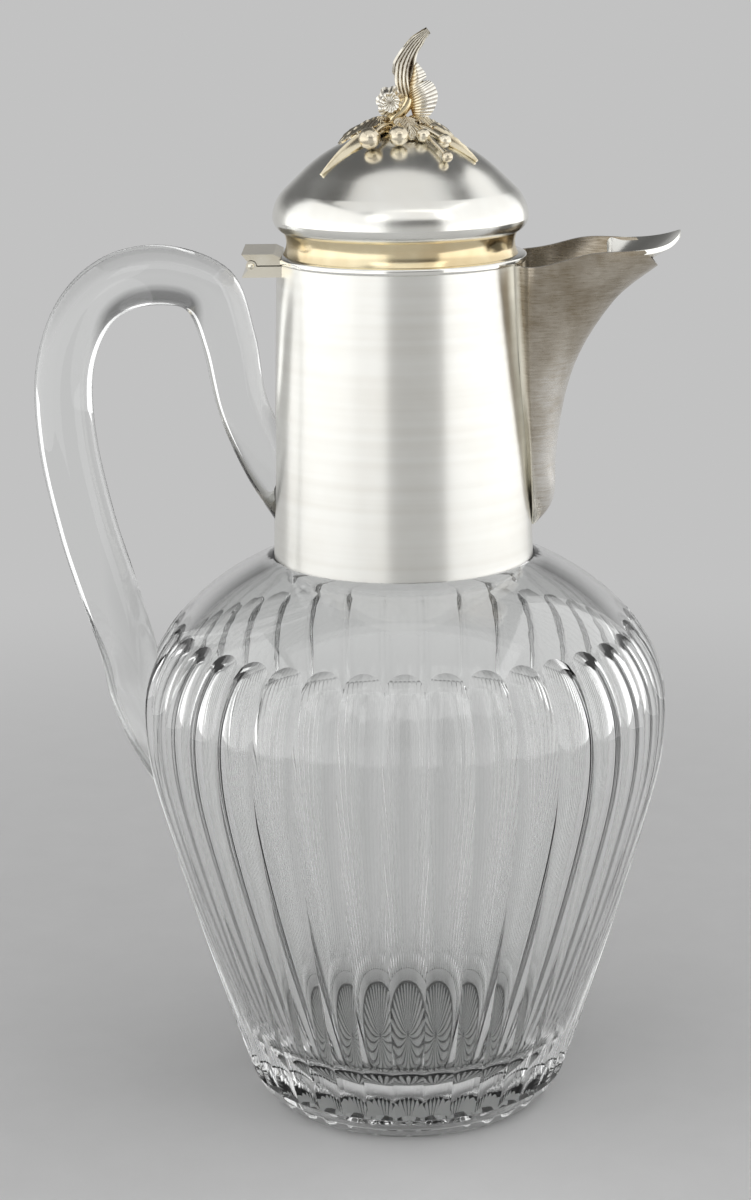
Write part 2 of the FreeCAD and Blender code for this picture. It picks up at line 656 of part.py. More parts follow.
def leaf_solid(root, bend, tip, half_width, cup, facing, fullest=0.42):
    """A cast leaf: crescents along a curved midrib, widest at the share called fullest."""
    thick = size("leaf_metal")
    wires = []
    for step in range(LEAF_STEPS):
        share = step / (LEAF_STEPS - 1)
        middle = bezier(root, bend, tip, share)
        along = (bend - root) * (1 - share) + (tip - bend) * share
        along.normalize()
        across = along.cross(facing).normalize()
        up = across.cross(along)
        fill = share ** (math.log(0.5) / math.log(fullest))
        half = 0.35 + (half_width - 0.35) * math.sin(math.pi * min(max(fill, 0.06), 0.985)) ** 0.8
        lift = up * (cup * half / half_width)
        edge = thick * 0.25
        left = middle - across * half + lift
        right = middle + across * half + lift
        top = Part.Arc(left + up * edge, middle + up * (thick / 2), right + up * edge)
        base = Part.Arc(right - up * edge, middle - up * (thick / 2), left - up * edge)
        wires.append(Part.Wire([
            top.toShape(), Part.LineSegment(right + up * edge, right - up * edge).toShape(),
            base.toShape(), Part.LineSegment(left - up * edge, left + up * edge).toShape()]))
    return loft(wires)


def on_dome(azimuth, radius, above):
    """A point above the dome's outer face at an azimuth in degrees and a distance from the axis."""
    cap = size("dome_edge_radius")
    if radius <= cap:
        drop = size("dome_curve") - math.sqrt(size("dome_curve") ** 2 - radius ** 2)
    else:
        drop = size("dome_top") - size("dome_edge_height") + (radius - cap)
    turn = math.radians(azimuth)
    return Vector(radius * math.cos(turn), radius * math.sin(turn), size("dome_top") - drop + above)


def stem_solid(points, thickness):
    """A round stem lofted along points with a radius at each."""
    wires = []
    for number, (point, radius) in enumerate(zip(points, thickness)):
        along = (points[min(number + 1, len(points) - 1)] - points[max(number - 1, 0)]).normalize()
        wires.append(Part.Wire([Part.Circle(point, along, radius).toShape()]))
    return loft(wires)


def berry_solid(azimuth, reach, radius):
    """A berry just clear of the dome, with a stalk that arches out to it from the boss."""
    slope = math.asin(reach / size("dome_curve"))
    above = (radius + size("berry_gap")) / math.cos(slope)
    foot = on_dome(azimuth, size("boss_radius") * 0.55, 1.2)
    centre = on_dome(azimuth, reach, above)
    bend = on_dome(azimuth, reach * 0.55, above + 1.0)
    path = [bezier(foot, bend, centre, step / 5) for step in range(6)]
    return solid_of(Part.makeSphere(radius, centre).fuse(stem_solid(path, [size("stalk_radius")] * 6)))


SPRIG = [finial_boss.Shape]


def sprig(label, shape):
    """Seat a piece of the finial against those before it and keep it."""
    for earlier in SPRIG:
        if shape.BoundBox.intersect(earlier.BoundBox):
            shape = solid_of(shape.cut(earlier))
    SPRIG.append(shape)
    feature(label, shape)


UP = Vector(0, 0, 1)
crown = Vector(0, 0, size("dome_top"))

sprig("finial_stem", stem_solid([crown + Vector(-2.4, -0.8, 1.2), crown + Vector(-0.9, -0.6, 3.4),
                                 crown + Vector(1.1, -0.2, 5.4), crown + Vector(2.2, 0.1, 7.6)],
                                [1.9, 1.6, 1.6, 1.5]))
sprig("finial_flower", stem_solid([crown + Vector(-0.6, -1.6, 4.3), crown + Vector(-2.0, -2.0, 5.2),
                                   crown + Vector(-3.2, -2.3, 7.2), crown + Vector(-3.7, -2.5, 9.4),
                                   crown + Vector(-3.7, -2.5, 11.0)], [0.9, 2.2, 3.1, 2.7, 1.2]))
sprig("finial_tall_leaf", leaf_solid(
    crown + Vector(2.2, 0.2, 6.6), crown + Vector(-2.6, 0.6, 17.5), crown + Vector(5.8, 0.2, 24.8),
    2.7, 0.9, Vector(0.25, -1, 0), fullest=0.45))
sprig("finial_shell_leaf", leaf_solid(
    crown + Vector(2.4, -0.6, 4.6), crown + Vector(9.4, -0.8, 9.6), crown + Vector(3.9, -0.2, 16.4),
    3.4, 1.2, Vector(-0.35, -1, 0.1), fullest=0.5))

# Leaves that drape over the dome: name, azimuth, reach of the tip, half width, height of the root, of the
# bend and of the tip above the dome, and how far the edges turn up.
DRAPED = [
    ("finial_long_leaf_left", 218.0, 24.0, 3.4, 1.3, 4.4, 0.9, -0.5),
    ("finial_long_leaf_right", 331.5, 21.2, 3.2, 1.3, 4.4, 0.9, -0.5),
    ("finial_long_leaf_back_left", 141.0, 20.0, 3.0, 1.3, 4.2, 0.9, -0.5),
    ("finial_long_leaf_back_right", 55.0, 20.0, 3.0, 1.3, 4.2, 0.9, -0.5),
    ("finial_fan_leaf_left", 194.0, 15.5, 3.5, 3.2, 5.8, 2.2, -0.4),
    ("finial_fan_leaf_right", 352.0, 11.6, 3.1, 3.4, 5.2, 2.0, -0.4),
    ("finial_fan_leaf_front", 286.0, 11.4, 3.0, 3.2, 4.8, 0.9, -0.4),
    ("finial_fan_leaf_back", 98.0, 12.0, 3.0, 3.2, 4.8, 0.9, -0.4),
]
for label, azimuth, reach, half, low, high, tip, cup in DRAPED:
    sprig(label, leaf_solid(on_dome(azimuth, size("boss_radius") * 0.4, low),
                            on_dome(azimuth, reach * 0.48, high), on_dome(azimuth, reach, tip),
                            half, cup, UP))

# Berries: azimuth, distance from the axis and share of the full size.
BERRIES = [(242.8, 15.7, 1.04), (269.0, 14.0, 0.98), (303.4, 20.4, 0.54),
           (297.0, 12.3, 0.68), (314.0, 15.4, 0.66), (120.0, 15.0, 0.90)]
for number, (azimuth, reach, share) in enumerate(BERRIES, 1):
    sprig(f"finial_berry_{number}", berry_solid(azimuth, reach, size("berry_radius") * share))

# ---------------------------------------------------------------------------------- checks and export
doc.recompute()
for item in doc.Objects:
    if "Invalid" in item.State or "Error" in item.State:
        raise RuntimeError(f"{item.Label} did not rebuild")
for piece in PIECES:
    shape = piece.Shape
    if shape.isNull() or not shape.isValid():
        raise RuntimeError(f"{piece.Label} has no valid shape")
os.makedirs("parts", exist_ok=True)
for piece in PIECES:
    piece.Shape.exportStep(f"parts/{piece.Label}.step")
    print(f"{piece.Label}: {len(piece.Shape.Solids)} solid, {piece.Shape.Volume:.1f} mm3")
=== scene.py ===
"""Looks of the claret jug: fluted glass, a brushed silver mount and a cast finial, in a pale studio.

Lengths in the shape code are millimetres, turned into metres when a mesh is made. The spout is on +X, the
handle and the hinge are on -X, and the camera looks along +Y.
"""

import math

import bmesh
import bpy
import numpy as np
from mathutils import Matrix, Vector


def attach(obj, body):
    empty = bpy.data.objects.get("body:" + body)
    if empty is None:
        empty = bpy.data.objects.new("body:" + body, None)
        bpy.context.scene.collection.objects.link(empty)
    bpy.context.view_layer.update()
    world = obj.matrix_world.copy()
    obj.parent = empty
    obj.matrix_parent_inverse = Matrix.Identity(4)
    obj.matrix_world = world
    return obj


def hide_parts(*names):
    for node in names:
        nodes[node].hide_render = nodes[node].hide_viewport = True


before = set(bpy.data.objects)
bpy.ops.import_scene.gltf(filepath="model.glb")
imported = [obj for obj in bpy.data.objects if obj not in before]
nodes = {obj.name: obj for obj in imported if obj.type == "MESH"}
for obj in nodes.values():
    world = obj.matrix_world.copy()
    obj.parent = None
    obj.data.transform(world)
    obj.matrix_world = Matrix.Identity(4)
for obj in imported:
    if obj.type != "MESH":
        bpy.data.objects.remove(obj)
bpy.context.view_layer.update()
MM = 0.001


# ---------------------------------------------------------------------------------- camera
# The lens is in millimetres, the eye in metres and the turns in radians.
FOCAL_LENGTH = 85
SENSOR_WIDTH = 36
SHIFT_ASIDE = -0.02375
EYE = (0, -0.6933, 0.3093)
DOWNWARD = math.radians(14.44)
ROLL = -0.0094


def make_camera():
    """A long lens that looks a little down on the jug."""
    lens = bpy.data.cameras.new("camera")
    lens.sensor_width = SENSOR_WIDTH
    lens.lens = FOCAL_LENGTH
    lens.shift_x = SHIFT_ASIDE
    lens.clip_start = 0.01
    camera = bpy.data.objects.new("camera", lens)
    tilt = Matrix.Rotation(math.radians(90) - DOWNWARD, 4, "X") @ Matrix.Rotation(ROLL, 4, "Z")
    camera.matrix_world = Matrix.Translation(EYE) @ tilt
    bpy.context.scene.collection.objects.link(camera)
    bpy.context.scene.camera = camera


# ---------------------------------------------------------------------------------- node helpers
class Tree:
    """A small wrapper that adds nodes to a material or world and links them."""

    def __init__(self, owner):
        owner.use_nodes = True
        self.tree = owner.node_tree
        self.tree.nodes.clear()

    def add(self, kind, inputs=None, **settings):
        """Add a node, set its own settings, then link or set the inputs given by name or number."""
        node = self.tree.nodes.new("ShaderNode" + kind)
        for name, value in settings.items():
            setattr(node, name, value)
        for key, value in (inputs or {}).items():
            socket = node.inputs[key]
            if isinstance(value, bpy.types.NodeSocket):
                self.tree.links.new(value, socket)
            elif isinstance(value, bpy.types.Node):
                self.tree.links.new(value.outputs[0], socket)
            else:
                socket.default_value = value
        return node

    def math(self, operation, *values, clamp=False):
        return self.add("Math", dict(enumerate(values)), operation=operation, use_clamp=clamp)

    def remap(self, value, low, high, new_low, new_high):
        return self.add("MapRange", {"Value": value, "From Min": low, "From Max": high,
                                     "To Min": new_low, "To Max": new_high})

    def ramp(self, value, *stops):
        """A colour ramp through (position, colour)."""
        node = self.add("ValToRGB", {"Fac": value})
        points = node.color_ramp.elements
        while len(points) < len(stops):
            points.new(1.0)
        for point, (position, colour) in zip(points, stops):
            point.position = position
            point.color = (*colour, 1.0)
        return node

    def noise(self, vector, scale, detail=2.0, roughness=0.5):
        return self.add("TexNoise", {"Vector": vector, "Scale": scale, "Detail": detail,
                                     "Roughness": roughness}).outputs["Fac"]

    def stretched(self, x, y, z):
        """Object coordinates with each axis scaled by itself."""
        place = self.add("TexCoord").outputs["Object"]
        return self.add("VectorMath", {0: place, 1: (x, y, z)}, operation="MULTIPLY")


def grey(value):
    return (value, value, value)


def material(name, build):
    """A new material whose surface is the shader that build makes in its tree."""
    made = bpy.data.materials.new(name)
    tree = Tree(made)
    shader = build(tree)
    tree.add("OutputMaterial", {"Surface": shader})
    return made


def object_from(name, made, *looks):
    """Put a bmesh in the scene as an object with these materials."""
    mesh = bpy.data.meshes.new(name)
    for look in looks:
        mesh.materials.append(look)
    made.to_mesh(mesh)
    made.free()
    piece = bpy.data.objects.new(name, mesh)
    bpy.context.scene.collection.objects.link(piece)
    return piece


# ---------------------------------------------------------------------------------- stage and light
BACKDROP = 0.54
FADE_START = 0.16
FADE_END = 0.55
FLOOR_RADIUS = 9.0
# Upright soft panels: the azimuths they run between, their distance, bottom, top and radiance.
PANELS = {"panel_left": (-13, -42, 0.8, 0.02, 0.9, 0.82),
          "panel_far_left": (-42, -122, 0.8, 0.02, 0.9, 0.96),
          "panel_right": (38, 142, 0.8, 0.02, 0.9, 0.92),
          "panel_front": (-30, 48, 0.85, 0.56, 1.2, 0.85)}
OVERHEAD_SIZE = (1.5, 0.8)
OVERHEAD_PLACE = (0.0, -0.3, 1.15)
OVERHEAD_RADIANCE = 0.7


def floor_look(tree):
    """A pale matt floor that fades, away from the jug, to the backdrop's tone for seen and mirrored rays."""
    place = tree.stretched(1, 1, 1)
    speck = tree.noise(place, 60.0, 4.0, 0.6)
    colour = tree.ramp(speck, (0.3, grey(0.69)), (0.7, grey(0.71)))
    near = tree.add("BsdfPrincipled", {"Base Color": colour, "Roughness": 0.85, "Specular IOR Level": 0.2})
    far = tree.add("Emission", {"Color": (*grey(BACKDROP), 1.0), "Strength": 1.0})
    distance = tree.add("VectorMath", {0: place}, operation="LENGTH").outputs["Value"]
    share = tree.add("MapRange", {"Value": distance, "From Min": FADE_START, "From Max": FADE_END},
                     interpolation_type="SMOOTHSTEP")
    rays = tree.add("LightPath")
    seen = tree.math("ADD", tree.math("ADD", rays.outputs["Is Camera Ray"], rays.outputs["Is Glossy Ray"]),
                     rays.outputs["Is Transmission Ray"], clamp=True)
    return tree.add("MixShader", {0: tree.math("MULTIPLY", share, seen), 1: near, 2: far})


def make_stage():
    """The floor, and a world that is as pale as the backdrop near the horizon and darker overhead."""
    made = bmesh.new()
    bmesh.ops.create_circle(made, cap_ends=True, radius=FLOOR_RADIUS, segments=96)
    floor = object_from("floor", made, material("floor", floor_look))

    world = bpy.data.worlds.new("studio")
    bpy.context.scene.world = world
    tree = Tree(world)
    height = tree.add("SeparateXYZ", {0: tree.add("TexCoord").outputs["Generated"]}).outputs["Z"]
    sky = tree.ramp(height, (0.0, grey(BACKDROP)), (0.05, grey(BACKDROP)), (0.28, grey(0.17)),
                    (0.6, grey(0.12)))
    tree.add("OutputWorld", {"Surface": tree.add("Background", {"Color": sky, "Strength": 1.0})})


def on_plan(azimuth, radius):
    """A point on the floor plan, with azimuth 0 towards the camera and growing to the right."""
    angle = math.radians(azimuth)
    return Vector((radius * math.sin(angle), -radius * math.cos(angle), 0))


def make_lamp(name, width, height, radiance, place):
    """A rectangular soft lamp that the camera doesn't see."""
    lamp = bpy.data.lights.new(name, "AREA")
    lamp.shape = "RECTANGLE"
    lamp.size = width
    lamp.size_y = height
    lamp.energy = radiance * math.pi * width * height
    holder = bpy.data.objects.new(name, lamp)
    holder.matrix_world = place
    holder.visible_camera = False
    bpy.context.scene.collection.objects.link(holder)


def make_lights():
    """The upright panels, each turned to face the jug, and the one overhead."""
    for name, (first, last, distance, bottom, top, radiance) in PANELS.items():
        start, end = on_plan(first, distance), on_plan(last, distance)
        middle = (start + end) / 2 + Vector((0, 0, (bottom + top) / 2))
        x_axis = (end - start).normalized()
        z_axis = x_axis.cross(Vector((0, 0, 1)))
        if z_axis.dot(middle) < 0:
            x_axis = -x_axis
            z_axis = -z_axis
        turn = Matrix((x_axis, z_axis.cross(x_axis), z_axis)).transposed().to_4x4()
        make_lamp(name, (end - start).length, top - bottom, radiance, Matrix.Translation(middle) @ turn)
    make_lamp("overhead", *OVERHEAD_SIZE, OVERHEAD_RADIANCE, Matrix.Translation(OVERHEAD_PLACE))


# ---------------------------------------------------------------------------------- looks
SILVER = (0.935, 0.93, 0.885)
SILVER_SHADE = (0.86, 0.845, 0.79)
GILT = (0.91, 0.79, 0.53)
GILT_SHADE = (0.74, 0.59, 0.35)
CREAM = (0.93, 0.88, 0.75)
CREAM_SHADE = (0.80, 0.72, 0.55)
BERRY = (0.86, 0.79, 0.64)
BERRY_SHADE = (0.58, 0.49, 0.34)
# The cream of the painted highlight along the spout's seam with the collar.
SEAM_HIGHLIGHT = (0.93, 0.9, 0.81)
GLASS_INDEX = 1.54
# The collar's wall as a cone, in metres: its radius at height 0, and how fast it narrows with height.
CONE_RADIUS = 0.03635
CONE_TAPER = 0.0271


def brushed(tree, light, dark, roughness, streak):
    """Metal brushed round the jug's axis: long horizontal streaks in colour, gloss and relief."""
    fine = tree.noise(tree.stretched(18, 18, 5200), 1.0, 3.0, 0.6)
    broad = tree.noise(tree.stretched(9, 9, 420), 1.0, 2.0, 0.5)
    cloud = tree.noise(tree.stretched(1, 1, 1), 45.0, 3.0, 0.6)
    mixed = tree.math("ADD", tree.math("MULTIPLY", broad, 0.4), tree.math("MULTIPLY", cloud, 0.6))
    colour = tree.ramp(mixed, (0.36, dark), (0.60, light))
    rough = tree.remap(tree.math("ADD", tree.math("MULTIPLY", fine, 0.5), tree.math("MULTIPLY", cloud, 0.5)),
                       0.3, 0.7, roughness - 0.03, roughness + 0.03)
    bump = tree.add("Bump", {"Height": fine, "Strength": streak, "Distance": 0.00002})
    around = tree.add("Tangent", direction_type="RADIAL", axis="Z")
    return tree.add("BsdfPrincipled", {"Base Color": colour, "Metallic": 1.0, "Roughness": rough,
                                       "Normal": bump, "Tangent": around, "Anisotropic": 0.8,
                                       "Anisotropic Rotation": 0.25})


def polished(tree, light, dark, roughness):
    """Hand-polished metal with faint clouding, hairlines and a little relief."""
    cloud = tree.noise(tree.stretched(1, 1, 1), 70.0, 3.0, 0.6)
    hair = tree.noise(tree.stretched(900, 1400, 300), 1.0, 2.0, 0.6)
    colour = tree.ramp(cloud, (0.3, dark), (0.65, light))
    rough = tree.remap(cloud, 0.3, 0.7, roughness * 0.8, roughness * 1.25)
    bump = tree.add("Bump", {"Height": hair, "Strength": 0.12, "Distance": 0.00002})
    return tree.add("BsdfPrincipled", {"Base Color": colour, "Metallic": 1.0, "Roughness": rough,
                                       "Normal": bump})


def spout_look(tree):
    """Satin metal with long brush lines and brown patina, darker towards the top, with painted highlights on
    the lower keel and the seam.
    """
    lines = tree.noise(tree.stretched(260, 60, 2400), 1.0, 3.0, 0.6)
    cloud = tree.noise(tree.stretched(1, 1, 1), 55.0, 4.0, 0.65)
    height = tree.add("SeparateXYZ", {0: tree.stretched(1, 1, 1)}).outputs["Z"]
    from_axis = tree.add("VectorMath", {0: tree.stretched(1, 1, 0)}, operation="LENGTH").outputs["Value"]
    off_collar = tree.math("MULTIPLY_ADD", height, CONE_TAPER, tree.math("SUBTRACT", from_axis, CONE_RADIUS))
    # A painted highlight: the band of spout next to the collar is painted cream, as if it mirrored the bright
    # collar; the band is also a little glossier.
    seam_highlight = tree.remap(off_collar, 0.0007, 0.0022, 1.0, 0.0)
    # A painted highlight: the lower keel, away from the collar, is painted lighter.
    keel_highlight = tree.math("MULTIPLY", tree.remap(off_collar, 0.002, 0.009, 0.0, 0.7),
                     tree.remap(height, 0.166, 0.204, 1.0, 0.0))
    spots = tree.math("ADD", tree.remap(cloud, 0.3, 0.7, 0.0, 0.5), tree.remap(lines, 0.3, 0.7, 0, 0.25))
    # Patina patches, darker towards the top, less the painted highlight on the keel.
    patina_and_keel_highlight = tree.math("SUBTRACT", tree.math("ADD", spots, tree.remap(height, 0.15, 0.21, 0.05, 0.45)), keel_highlight)
    metal_tone = tree.ramp(patina_and_keel_highlight, (0.1, (0.92, 0.9, 0.86)), (0.5, (0.60, 0.55, 0.47)), (1.0, (0.30, 0.25, 0.18)))
    colour = tree.add("Mix", {"Factor": seam_highlight, "A": metal_tone, "B": (*SEAM_HIGHLIGHT, 1)}, data_type="RGBA")
    bump = tree.add("Bump", {"Height": lines, "Strength": 0.3, "Distance": 0.00002})
    rough = tree.math("SUBTRACT", tree.remap(lines, 0.3, 0.7, 0.2, 0.3), tree.math("MULTIPLY", seam_highlight, 0.06))
    return tree.add("BsdfPrincipled", {"Base Color": colour.outputs["Result"], "Metallic": 1.0,
                                       "Roughness": rough, "Normal": bump})


def cement_look(tree):
    """Coarse pale cement."""
    grain = tree.noise(tree.stretched(1, 1, 1), 900.0, 4.0, 0.7)
    colour = tree.ramp(grain, (0.3, (0.42, 0.39, 0.33)), (0.7, (0.56, 0.53, 0.46)))
    bump = tree.add("Bump", {"Height": grain, "Strength": 0.5, "Distance": 0.0002})
    return tree.add("BsdfPrincipled", {"Base Color": colour, "Roughness": 0.9, "Normal": bump})


def glass_look(tree):
    """Clear cut glass, its surface faintly wavy along the flutes and its tint a little uneven."""
    turn = tree.add("VectorMath", {0: tree.stretched(1, 1, 0)}, operation="NORMALIZE")
    spread = tree.add("VectorMath", {0: turn, 1: (13, 13, 13)}, operation="MULTIPLY")
    wrapped = tree.add("VectorMath", {0: spread, 1: tree.stretched(0, 0, 24)}, operation="ADD")
    waves = tree.noise(wrapped, 1.0, 1.0, 0.4)
    colour = tree.ramp(waves, (0.3, (0.978, 0.986, 0.98)), (0.7, (0.99, 0.994, 0.99)))
    bump = tree.add("Bump", {"Height": waves, "Strength": 0.05, "Distance": 0.0002})
    return tree.add("BsdfPrincipled", {"Base Color": colour, "Roughness": 0.0, "IOR": GLASS_INDEX,
                                       "Transmission Weight": 1.0, "Normal": bump})


def frosted_look(tree):
    """The unpolished wheel cuts of the star under the base."""
    grain = tree.noise(tree.stretched(1, 1, 1), 2600.0, 2.0, 0.6)
    colour = tree.ramp(grain, (0.35, (0.93, 0.945, 0.93)), (0.65, (0.985, 0.99, 0.985)))
    rough = tree.remap(grain, 0.3, 0.7, 0.36, 0.5)
    return tree.add("BsdfPrincipled", {"Base Color": colour, "Roughness": rough, "IOR": GLASS_INDEX,
                                       "Transmission Weight": 0.12})


# ---------------------------------------------------------------------------------- curves and rings
def unit(vectors):
    """The same directions with a length of 1."""
    return vectors / np.maximum(np.linalg.norm(vectors, axis=-1, keepdims=True), 1e-9)


def curve_through(points, count):
    """Even samples of a smooth curve through a few points."""
    points = np.array(points, float)
    places = np.linspace(0, len(points) - 1, count)
    before = np.clip(places.astype(int), 0, len(points) - 2)
    t = (places - before)[:, None]
    padded = np.vstack((2 * points[0] - points[1], points, 2 * points[-1] - points[-2]))
    a, b, c, d = (padded[before + shift] for shift in range(4))
    return 0.5 * (2 * b + (c - a) * t + (2 * a - 5 * b + 4 * c - d) * t ** 2
                  + (3 * b - a - 3 * c + d) * t ** 3)


def arc(start, end, radius, count):
    """Points from start up to end along an arc that bulges to the right of that direction.

    A negative radius bulges to the left, and no radius gives a straight run.
    """
    start, end = np.array(start, float), np.array(end, float)
    shares = np.arange(count) / count
    if not radius:
        return [tuple(start + (end - start) * share) for share in shares]
    chord = end - start
    half = np.hypot(*chord) / 2
    side = np.array((-chord[1], chord[0])) / (2 * half)
    reach = math.sqrt(radius * radius - half * half) * math.copysign(1, radius)
    centre = (start + end) / 2 + side * reach
    first = math.atan2(*(start - centre)[::-1])
    sweep = 2 * math.asin(half / abs(radius)) * math.copysign(1, radius)
    return [tuple(centre + abs(radius) * np.array((math.cos(first + sweep * share),
                                                   math.sin(first + sweep * share)))) for share in shares]


def outline(corners):
    """The points along (radius, height, arc radius, points) corners, without the last corner's run."""
    points = []
    for (x, z, curve, count), (next_x, next_z, *_) in zip(corners, corners[1:]):
        points += arc((x, z), (next_x, next_z), curve, count)
    points.append(tuple(corners[-1][:2]))
    return points


class Grid:
    """Rings of vertices joined into a skin."""

    def __init__(self, columns):
        self.columns = columns
        self.angles = 2 * math.pi * np.arange(columns) / columns
        self.vertices = []
        self.faces = []
        self.rings = 0

    def ring(self, radius, height, angles=None):
        """Add a ring, with a radius and height for all of its columns or one for each."""
        angles = self.angles if angles is None else angles
        radius = np.broadcast_to(np.asarray(radius, float), self.columns)
        height = np.broadcast_to(np.asarray(height, float), self.columns)
        self.vertices += zip(radius * np.cos(angles), radius * np.sin(angles), height)
        if self.rings:
            base = (self.rings - 1) * self.columns
            for column in range(self.columns):
                after = (column + 1) % self.columns
                self.faces.append((base + column, base + after, base + self.columns + after,
                                   base + self.columns + column))
        self.rings += 1

    def cap(self, height):
        """Close the last ring with a fan about the axis."""
        self.vertices.append((0.0, 0.0, height))
        centre = len(self.vertices) - 1
        base = (self.rings - 1) * self.columns
        for column in range(self.columns):
            self.faces.append((base + column, base + (column + 1) % self.columns, centre))


# ---------------------------------------------------------------------------------- glass body
BODY_RADIUS = 66.3
BELLY_HEIGHT = 104.0
BELLY_CURVE = 80
BELLY_TURN = math.radians(14)
SHOULDER_CURVE = 33
SHOULDER_TURN = math.radians(40)
LEDGE_RADIUS = 33.0
LEDGE_HEIGHT = 143.2
NECK_RADIUS = 29.4
NECK_TOP = 192.0
BORE_RADIUS = 25.2
RIM_ROUND = 1.5
WALL = 5.0
FLOOR = 15.0
FOOT_EDGE = (41.0, 7.5)
FOOT_BREAK = (40.85, 7.0)
FOOT_FACET = 0.12
REST_RADIUS = 34.0
SAMPLES = 200

# The flutes end in arches that rise this far above the height of the arches' feet.
FLUTES = 38
FLUTE_STEPS = 14
FLUTE_DEPTH = 1.55
ARCH_RISE = 5.2
ARCH_FOOT = 123.4
ARCH_LEAD = 8
FLUTE_ROWS = 38
ARCH_ROWS = 15
SHOULDER_ROWS = 21

# The star is cut into a shallow recess. RAY_FACES are those of each ray's faces that lie in its cut.
RECESS_RADIUS = 33.0
RECESS_DEPTH = 1.2
RECESS_SLOPE = 1.2
STAR_RADIUS = 32.4
STAR_ROWS = 34
HUB_RADIUS = 1.2
RAYS = 24
RAY_STEPS = 8
RAY_FACES = (2, 3, 4, 5)
RAY_HALF_WIDTH = 2.3
RAY_SLOPE = 0.6
GLASS_CREASE = math.radians(17)

# Outlines as corners: radius, height, the radius of the arc to the next corner and how many points it takes.
FLANK_TOP = (BODY_RADIUS - BELLY_CURVE * (1 - math.cos(BELLY_TURN)),
             BELLY_HEIGHT - BELLY_CURVE * math.sin(BELLY_TURN))
SHOULDER_END = (BODY_RADIUS - SHOULDER_CURVE * (1 - math.cos(SHOULDER_TURN)),
                BELLY_HEIGHT + SHOULDER_CURVE * math.sin(SHOULDER_TURN))
FOOT = [(35.0, 0.0, 16, 8), (*FOOT_EDGE, None, 1)]
FLANK = [(*FOOT_EDGE, 920, 2 * SAMPLES), (*FLANK_TOP, BELLY_CURVE, SAMPLES),
         (BODY_RADIUS, BELLY_HEIGHT, SHOULDER_CURVE, SAMPLES), (*SHOULDER_END, 61, SAMPLES),
         (LEDGE_RADIUS, LEDGE_HEIGHT, None, 1)]
NECK = [(LEDGE_RADIUS, LEDGE_HEIGHT, None, 1), (NECK_RADIUS, LEDGE_HEIGHT, None, 2),
        (NECK_RADIUS, NECK_TOP - RIM_ROUND, RIM_ROUND, 4), (NECK_RADIUS - RIM_ROUND, NECK_TOP, None, 1),
        (BORE_RADIUS + RIM_ROUND, NECK_TOP, RIM_ROUND, 4), (BORE_RADIUS, NECK_TOP - RIM_ROUND, None, 2)]
INSIDE = [(BORE_RADIUS, 148.2, 10.75, 7), (31.275, 138.51, -56, 9),
          (SHOULDER_END[0] - WALL * math.cos(SHOULDER_TURN), SHOULDER_END[1] - WALL * math.sin(SHOULDER_TURN),
           -28, 10),
          (BODY_RADIUS - WALL, BELLY_HEIGHT, -75, 7),
          (FLANK_TOP[0] - WALL * math.cos(BELLY_TURN), FLANK_TOP[1] + WALL * math.sin(BELLY_TURN), -330, 12),
          (37.6, 23.3, -14.2, 11), (24.7, FLOOR, None, 2), (6.0, FLOOR, None, 1)]


def flank_table():
    """Radius, height, outward normal and distance along the flank, finely sampled."""
    points = np.array(outline(FLANK))
    steps = np.diff(points, axis=0)
    along = np.concatenate(([0], np.cumsum(np.hypot(steps[:, 0], steps[:, 1]))))
    tangent = np.gradient(points, along, axis=0)
    tangent /= np.hypot(tangent[:, 0], tangent[:, 1])[:, None]
    return points[:, 0], points[:, 1], tangent[:, 1], -tangent[:, 0], along


def fluted_skin():
    """The jug from its resting ring up the flutes, over the neck and down inside to the floor."""
    columns = FLUTES * FLUTE_STEPS
    grid = Grid(columns)
    across = (np.arange(columns) % FLUTE_STEPS) / FLUTE_STEPS - 0.5
    # The scallop is 1 in the middle of each flute and 0 on the ridges between them.
    scallop = 1 - 4 * across ** 2
    radius, height, normal_r, normal_z, along = flank_table()

    grid.ring(REST_RADIUS, 0.0)
    for x, z in outline(FOOT)[:-1]:
        grid.ring(x - FOOT_FACET * (z / FOOT_EDGE[1]) * scallop, z)
    grid.ring(FOOT_BREAK[0] - FOOT_FACET * scallop, FOOT_BREAK[1])

    arch_start = np.interp(ARCH_FOOT, height, along)

    def ring_at(distance):
        """A ring at a distance along the flank for each column, sunk by the flutes."""
        rise = np.clip(distance - arch_start, 0, None) / ARCH_RISE
        # Just above the foot the flutes are a fifth shallower.
        fade = np.clip((distance + 2.0) / 8.0, 0.8, 1)
        depth = FLUTE_DEPTH * np.clip(scallop - rise ** 2, 0, None) * fade
        here = [np.interp(distance, along, values) for values in (radius, height, normal_r, normal_z)]
        grid.ring(here[0] - depth * here[2], here[1] - depth * here[3])

    straight_end = arch_start - ARCH_LEAD
    for share in np.linspace(0, 1, FLUTE_ROWS, endpoint=False):
        ring_at(np.full(columns, straight_end * share))
    edge = arch_start + ARCH_RISE * np.sqrt(np.clip(scallop, 0, None))
    for share in np.linspace(0, 1, ARCH_ROWS, endpoint=False):
        ring_at(straight_end + (edge - straight_end) * share)
    for share in np.linspace(0, 1, SHOULDER_ROWS, endpoint=False):
        ring_at(edge + (along[-1] - edge) * share ** 1.3)
    for x, z in outline(NECK + INSIDE):
        grid.ring(x, z)
    grid.cap(FLOOR)
    return grid


